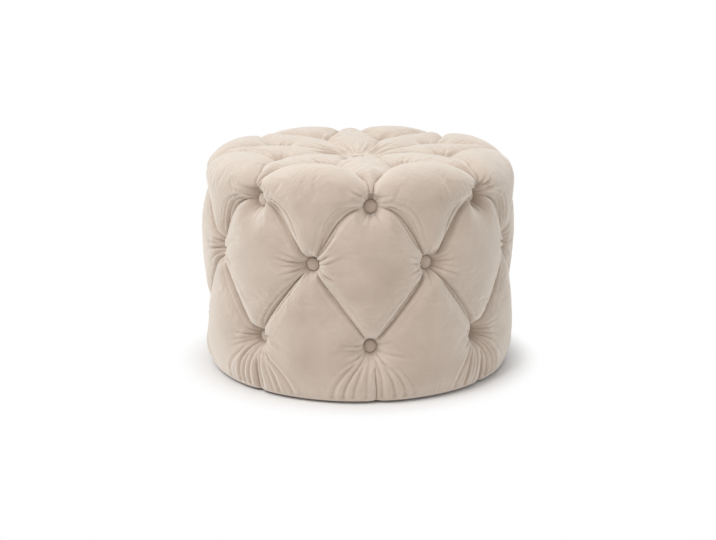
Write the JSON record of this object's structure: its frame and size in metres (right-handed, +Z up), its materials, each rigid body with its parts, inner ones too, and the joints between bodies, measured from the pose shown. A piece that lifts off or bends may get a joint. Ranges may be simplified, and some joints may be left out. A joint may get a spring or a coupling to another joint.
{
  "type": "tuffet",
  "caption": "Round deep buttoned velvet tuffet: tufted sides and top over a padded timber drum, on low glides.",
  "frame": {"origin": "middle of the floor area under the tuffet, at the lower faces of the glides", "axes": "+Z up, -Y towards the picture's camera, +X to the right in it"},
  "size_m": [0.4984, 0.4984, 0.356],
  "materials": {
    "plywood": "raw birch plywood",
    "post_timber": "planed softwood",
    "hardboard": "bent hardboard, smooth outside",
    "foam": "upholstery foam",
    "wadding": "white polyester fibre wadding",
    "velvet": "warm cream-greige velvet with a short pile",
    "button_velvet": "the cover's velvet drawn over a button shell",
    "waxed_twine": "waxed upholstery twine",
    "toggle_plastic": "white moulded plastic",
    "base_cloth": "black non-woven base cloth",
    "glide_plastic": "black moulded plastic",
    "nail_steel": "bright steel",
    "staple_steel": "galvanised steel wire"
  },
  "bodies": {
    "root": {"top_board": "plywood", "base_ring": "plywood", "drum_wall": "hardboard", "front_right_post": "post_timber", "rear_right_post": "post_timber", "rear_left_post": "post_timber", "front_left_post": "post_timber", "side_foam": "foam", "top_foam": "foam", "wadding": "wadding", "velvet_cover": "velvet", "top_buttons": "button_velvet", "upper_row_buttons": "button_velvet", "middle_row_buttons": "button_velvet", "lower_row_buttons": "button_velvet", "top_twines": "waxed_twine", "upper_row_twines": "waxed_twine", "middle_row_twines": "waxed_twine", "lower_row_twines": "waxed_twine", "twine_toggles": "toggle_plastic", "base_cloth": "base_cloth", "glides": "glide_plastic", "glide_nails": "nail_steel", "cover_staples": "staple_steel", "base_cloth_staples": "staple_steel", "frame_staples": "staple_steel"}
  },
  "joints": []
}
